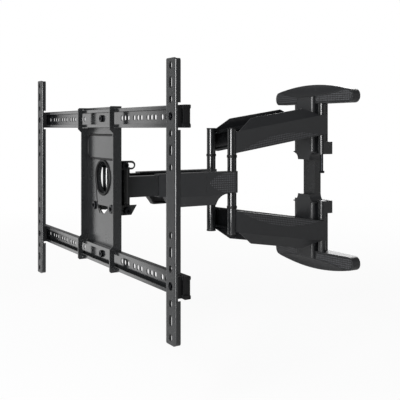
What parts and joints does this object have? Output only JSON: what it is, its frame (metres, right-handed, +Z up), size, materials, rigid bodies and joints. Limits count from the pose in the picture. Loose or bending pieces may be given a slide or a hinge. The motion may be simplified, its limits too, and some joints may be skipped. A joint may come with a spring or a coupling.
{
  "type": "double arm television wall mount",
  "caption": "Full-motion television wall mount with two folding arms, moulded covers, a tilting centre plate and vertical screen brackets that slide on slotted rails.",
  "frame": {"origin": "on the wall plane, on the centre line, level with the middle of the mount and of its four outer wall bolts", "axes": "+X to the right as seen from the wall's room side with the wall behind the mount, -Y out of the wall towards the screen, +Z up; arms straight out at rest"},
  "size_m": [0.644, 0.543, 0.422],
  "materials": {
    "black_steel": "satin",
    "gloss_steel": "gloss",
    "moulded_plastic": "semi-gloss",
    "nylon": "matte",
    "fasteners": "black oxide"
  },
  "bodies": {
    "wall": {"wall_plate_upper": "black_steel", "wall_plate_lower": "black_steel", "pivot_bracket_upper": "black_steel", "pivot_bracket_lower": "black_steel", "wall_column": "black_steel", "wall_cap_upper": "moulded_plastic", "wall_cap_lower": "moulded_plastic", "wall_pins": "fasteners", "pin_nuts": "fasteners", "swing_bolt": "fasteners"},
    "head": {"head_yoke": "black_steel", "head_pins": "fasteners", "head_washers": "nylon", "clamp_bolts": "fasteners", "tilt_bolts": "fasteners"},
    "tv_frame": {"centre_plate": "black_steel", "tilt_bracket_right": "black_steel", "tilt_bracket_left": "black_steel", "upper_rail": "gloss_steel", "lower_rail": "gloss_steel", "rail_bolts": "fasteners", "plate_bolts": "fasteners", "rail_end_caps": "nylon"},
    "rear_right": {"rear_arm_upper_right": "black_steel", "rear_arm_lower_right": "black_steel", "rear_cover_upper_right": "moulded_plastic", "rear_cover_lower_right": "moulded_plastic", "elbow_pin_right": "fasteners", "elbow_rings_right": "nylon", "elbow_caps_right": "nylon"},
    "front_right": {"front_arm_right": "black_steel", "front_cover_right": "moulded_plastic"},
    "bracket_right": {"tv_bracket_right": "black_steel", "saddles_right": "nylon", "bracket_bolts_right": "fasteners", "rail_nuts_right": "fasteners"},
    "rear_left": {"rear_arm_upper_left": "black_steel", "rear_arm_lower_left": "black_steel", "rear_cover_upper_left": "moulded_plastic", "rear_cover_lower_left": "moulded_plastic", "elbow_pin_left": "fasteners", "elbow_rings_left": "nylon", "elbow_caps_left": "nylon"},
    "front_left": {"front_arm_left": "black_steel", "front_cover_left": "moulded_plastic"},
    "bracket_left": {"tv_bracket_left": "black_steel", "saddles_left": "nylon", "bracket_bolts_left": "fasteners", "rail_nuts_left": "fasteners"}
  },
  "joints": [
    {"name": "swing_right", "type": "hinge", "parent": "wall", "child": "rear_right", "pos_m": [0.039, -0.025, 0], "axis": [0, 0, 1], "range_deg": [0, 84]},
    {"name": "elbow_right", "type": "hinge", "parent": "rear_right", "child": "front_right", "pos_m": [0.039, -0.26, 0], "axis": [0, 0, 1], "range_deg": [-168, 0]},
    {"name": "head_turn", "type": "hinge", "parent": "front_right", "child": "head", "pos_m": [0.039, -0.495, 0], "axis": [0, 0, 1], "range_deg": [0, 84]},
    {"name": "swing_left", "type": "hinge", "parent": "wall", "child": "rear_left", "pos_m": [-0.039, -0.025, 0], "axis": [0, 0, 1], "range_deg": [-84, 0]},
    {"name": "elbow_left", "type": "hinge", "parent": "rear_left", "child": "front_left", "pos_m": [-0.039, -0.26, 0], "axis": [0, 0, 1], "range_deg": [0, 168]},
    {"name": "tilt", "type": "hinge", "parent": "head", "child": "tv_frame", "pos_m": [0, -0.497, -0.042], "axis": [1, 0, 0], "range_deg": [-5, 10]},
    {"name": "bracket_slide_right", "type": "slide", "parent": "tv_frame", "child": "bracket_right", "axis": [1, 0, 0], "range_m": [-0.1, 0]},
    {"name": "bracket_slide_left", "type": "slide", "parent": "tv_frame", "child": "bracket_left", "axis": [1, 0, 0], "range_m": [0, 0.1]}
  ],
  "couplings": [
    {"joint": "elbow_right", "follows": "swing_right", "ratio": -2},
    {"joint": "head_turn", "follows": "swing_right", "ratio": 1},
    {"joint": "swing_left", "follows": "swing_right", "ratio": -1},
    {"joint": "elbow_left", "follows": "swing_right", "ratio": 2}
  ]
}
